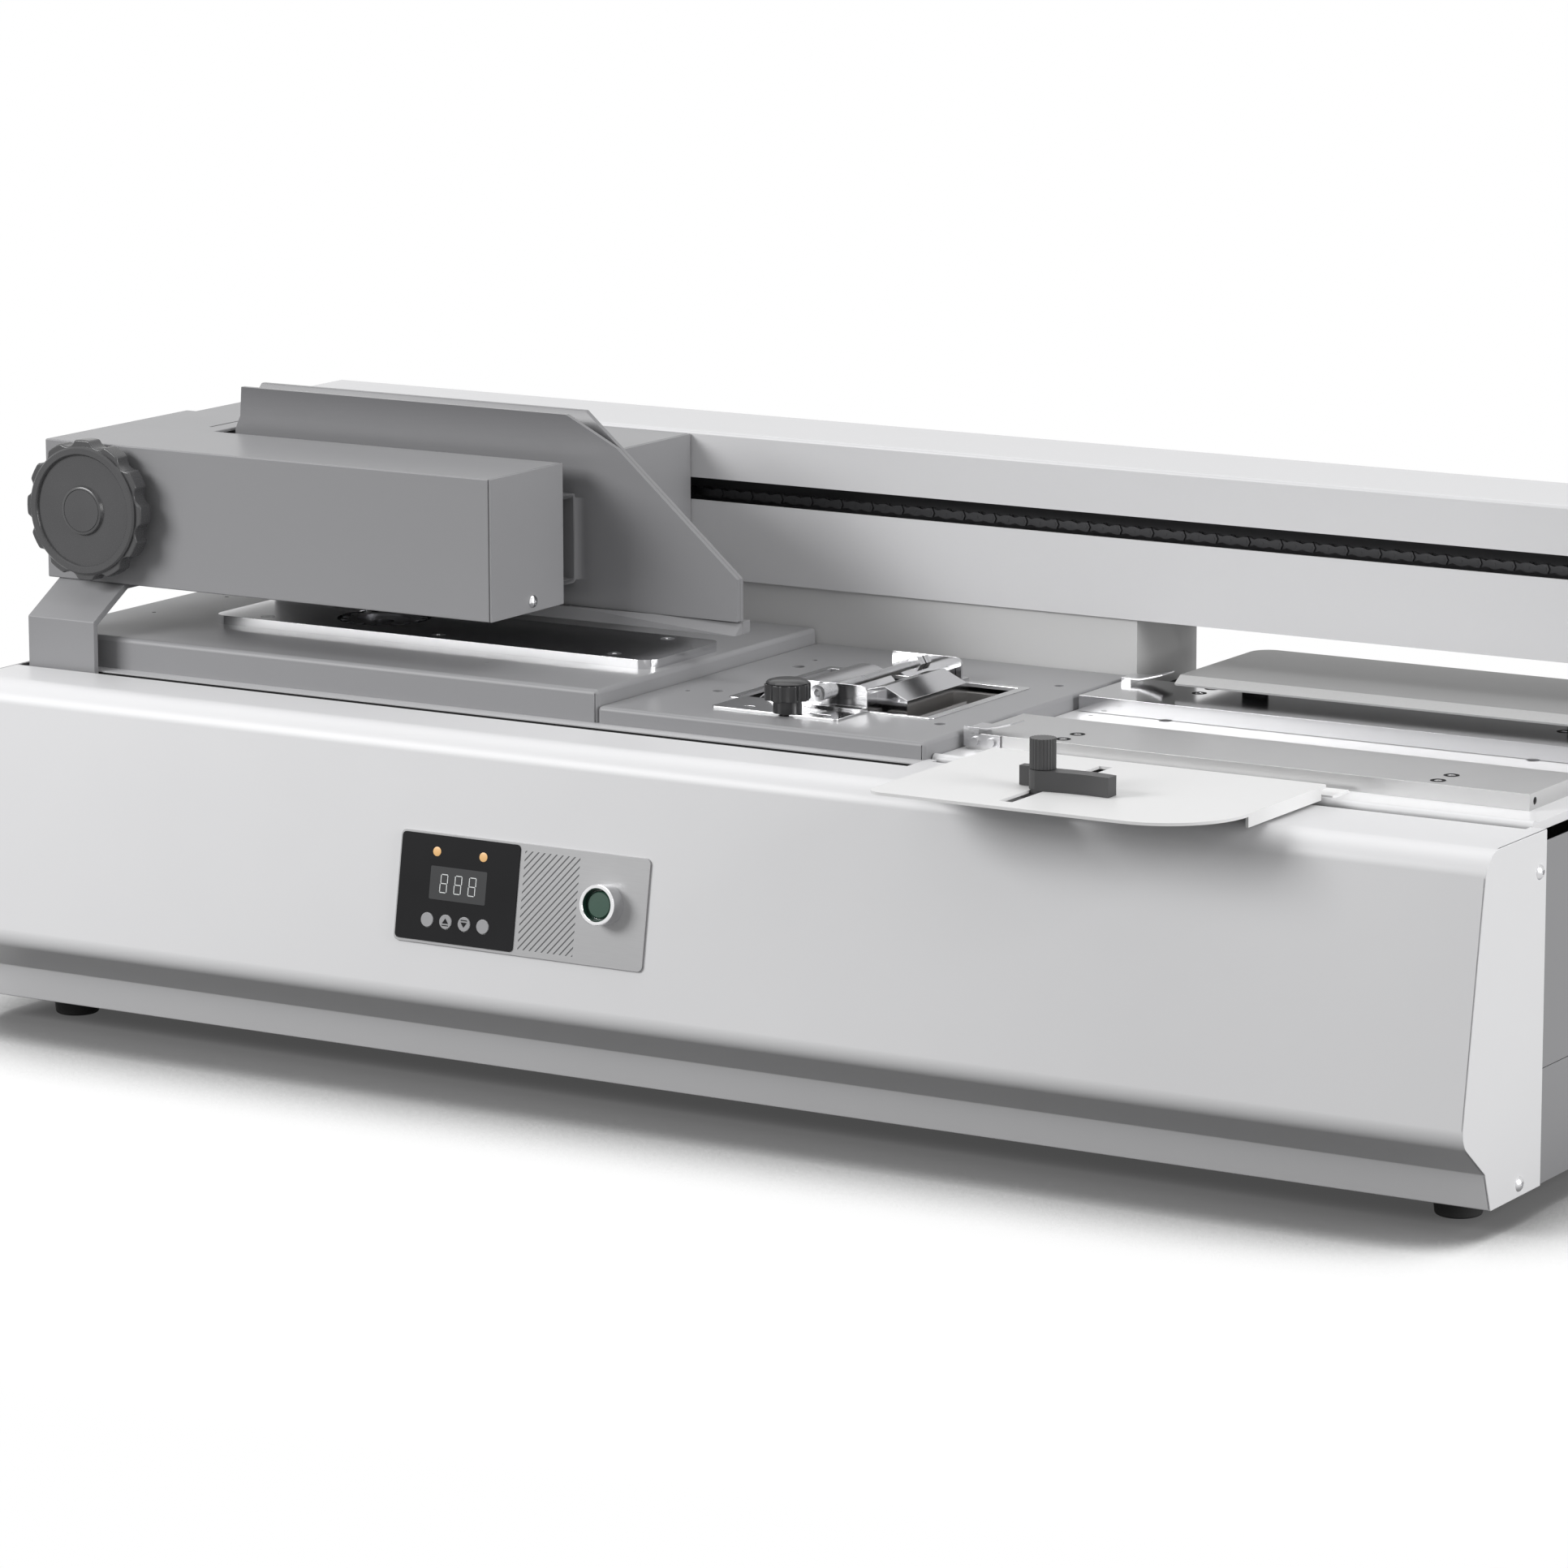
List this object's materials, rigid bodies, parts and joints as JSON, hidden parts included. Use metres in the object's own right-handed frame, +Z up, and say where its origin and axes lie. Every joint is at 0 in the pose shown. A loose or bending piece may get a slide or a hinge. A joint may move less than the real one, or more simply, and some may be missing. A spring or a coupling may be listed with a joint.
{
  "type": "perfect binding machine",
  "caption": "Desk-top hot-glue book binding machine: a clamp carriage slides from a milling station over a glue roller to a lifting nip table, driven along a rear gantry",
  "frame": {"origin": "middle of the machine's length and depth, on the desk under its feet", "axes": "+X along the machine from the milling station to the nip table, +Y from the control panel's side to the gantry, +Z up"},
  "size_m": [1.2052, 0.54, 0.445],
  "materials": {
    "white_sheet": "smooth satin light grey powder coat",
    "grey_sheet": "smooth satin mid-grey paint",
    "clamp_paint": "smooth satin mid-grey paint",
    "dark_paint": "plain dark grey paint",
    "polished_plate": "mirror-polished steel sheet",
    "bright_steel": "ground bright steel",
    "roller_chrome": "ground and plated roller",
    "cutter_steel": "ground cutter steel",
    "tank_alloy": "cast and machined aluminium",
    "bush_alloy": "machined aluminium",
    "black_plastic": "moulded black plastic with a faint sheen",
    "black_rubber": "plain black rubber",
    "chain_steel": "oiled dark steel",
    "brushed_panel": "brushed panel sheet",
    "display_black": "dark display film",
    "amber_lamp": "frosted amber lamp lens",
    "bezel_chrome": "bright turned ring",
    "green_button": "moulded dark green cap",
    "key_grey": "moulded grey key top"
  },
  "bodies": {
    "base": {"front_cover": "white_sheet", "base_pan": "grey_sheet", "side_panels": "grey_sheet", "rear_panel": "grey_sheet", "inner_frames": "dark_paint", "top_deck": "white_sheet", "rubber_feet": "black_rubber", "screws": "bright_steel", "milling_box": "grey_sheet", "levelling_plate": "polished_plate", "glue_box": "grey_sheet", "glue_plate": "polished_plate", "scraper_box": "polished_plate", "roller_cheeks": "polished_plate", "adjuster_rod": "bright_steel", "gantry_cover": "white_sheet", "gantry_beam": "dark_paint", "gantry_stand": "white_sheet", "drive_chain": "chain_steel", "drive_motor": "dark_paint", "lift_bushes": "bush_alloy", "lift_actuator": "dark_paint", "control_panel": "brushed_panel", "display_bezel": "display_black", "indicator_lamps": "amber_lamp", "start_bezel": "bezel_chrome", "power_inlet": "black_plastic"},
    "carriage": {"front_box": "grey_sheet", "carriage_arm": "grey_sheet", "rear_hood": "grey_sheet", "front_clamp_plate": "clamp_paint", "carriage_leg": "grey_sheet", "rail_block": "dark_paint"},
    "rear_jaw": {"rear_clamp_plate": "clamp_paint", "clamp_guides": "bright_steel", "clamp_nut": "bush_alloy"},
    "clamp_wheel": {"handwheel": "black_plastic", "clamp_spindle": "bright_steel"},
    "mill_head": {"milling_motor": "dark_paint"},
    "cutter": {"milling_cutter": "cutter_steel"},
    "glue_pot": {"glue_tank": "tank_alloy"},
    "roller": {"glue_roller": "roller_chrome"},
    "film_knob": {"glue_knob": "black_plastic"},
    "drive_wheel": {"drive_sprocket": "chain_steel"},
    "idler_wheel": {"idler_sprocket": "chain_steel"},
    "nip_table": {"nip_tray": "white_sheet", "front_nip_plate": "bright_steel", "front_clip": "bright_steel", "feed_table": "white_sheet", "rear_feed_sheet": "white_sheet", "lift_rods": "bright_steel"},
    "rear_nip": {"rear_nip_plate": "bright_steel", "rear_clip": "bright_steel"},
    "cover_guide": {"side_guide": "black_plastic"},
    "guide_screw": {"guide_knob": "black_plastic"},
    "start": {"start_button": "green_button"},
    "key_a": {"key_1": "key_grey"},
    "key_b": {"key_2": "key_grey"},
    "key_c": {"key_3": "key_grey"},
    "key_d": {"key_4": "key_grey"}
  },
  "joints": [
    {"name": "carriage_slide", "type": "slide", "parent": "base", "child": "carriage", "axis": [1, 0, 0], "range_m": [0, 0.655]},
    {"name": "jaw_slide", "type": "slide", "parent": "carriage", "child": "rear_jaw", "axis": [0, 1, 0], "range_m": [0, 0.04]},
    {"name": "clamp_turn", "type": "hinge", "parent": "carriage", "child": "clamp_wheel", "pos_m": [-0.5494, -0.102, 0.3663], "axis": [0, 1, 0], "range_deg": [0, 2881]},
    {"name": "mill_lift", "type": "slide", "parent": "base", "child": "mill_head", "axis": [0, 0, 1], "range_m": [0, 0.003]},
    {"name": "cutter_spin", "type": "hinge", "parent": "mill_head", "child": "cutter", "pos_m": [-0.3865, 0.023, 0.278], "axis": [0, 0, 1], "continuous": true},
    {"name": "tank_lift", "type": "slide", "parent": "base", "child": "glue_pot", "axis": [0, 0, 1], "range_m": [0, 0.0095]},
    {"name": "roller_spin", "type": "hinge", "parent": "glue_pot", "child": "roller", "pos_m": [-0.015, 0.028, 0.243], "axis": [0, 1, 0], "continuous": true},
    {"name": "film_knob_turn", "type": "hinge", "parent": "base", "child": "film_knob", "pos_m": [0.015, -0.0744, 0.275], "axis": [0, 0, 1], "range_deg": [-135, 135]},
    {"name": "drive_wheel_spin", "type": "hinge", "parent": "base", "child": "drive_wheel", "pos_m": [-0.559, 0.1905, 0.34097], "axis": [0, 1, 0], "range_deg": [-1, 1531]},
    {"name": "idler_wheel_spin", "type": "hinge", "parent": "base", "child": "idler_wheel", "pos_m": [0.559, 0.1905, 0.34097], "axis": [0, 1, 0], "range_deg": [-1, 1531]},
    {"name": "nip_lift", "type": "slide", "parent": "base", "child": "nip_table", "axis": [0, 0, 1], "range_m": [0, 0.027]},
    {"name": "nip_close", "type": "slide", "parent": "nip_table", "child": "rear_nip", "axis": [0, -1, 0], "range_m": [0, 0.07]},
    {"name": "guide_slide", "type": "slide", "parent": "nip_table", "child": "cover_guide", "axis": [0, 1, 0], "range_m": [-0.038, 0.074]},
    {"name": "guide_screw_turn", "type": "hinge", "parent": "cover_guide", "child": "guide_screw", "pos_m": [0.2874, -0.205, 0.28], "axis": [0, 0, 1], "range_deg": [-180, 180]},
    {"name": "start_press", "type": "slide", "parent": "base", "child": "start", "axis": [0, 0.986, -0.1668], "range_m": [0, 0.003], "stiffness_N_per_m": 400},
    {"name": "key_a_press", "type": "slide", "parent": "base", "child": "key_a", "axis": [0, 0.986, -0.1668], "range_m": [0, 0.0005], "stiffness_N_per_m": 300},
    {"name": "key_b_press", "type": "slide", "parent": "base", "child": "key_b", "axis": [0, 0.986, -0.1668], "range_m": [0, 0.0005], "stiffness_N_per_m": 300},
    {"name": "key_c_press", "type": "slide", "parent": "base", "child": "key_c", "axis": [0, 0.986, -0.1668], "range_m": [0, 0.0005], "stiffness_N_per_m": 300},
    {"name": "key_d_press", "type": "slide", "parent": "base", "child": "key_d", "axis": [0, 0.986, -0.1668], "range_m": [0, 0.0005], "stiffness_N_per_m": 300}
  ],
  "couplings": [
    {"joint": "clamp_turn", "follows": "jaw_slide", "rad_per_m": 1256.6},
    {"joint": "drive_wheel_spin", "follows": "carriage_slide", "rad_per_m": 40.759},
    {"joint": "idler_wheel_spin", "follows": "carriage_slide", "rad_per_m": 40.759}
  ]
}
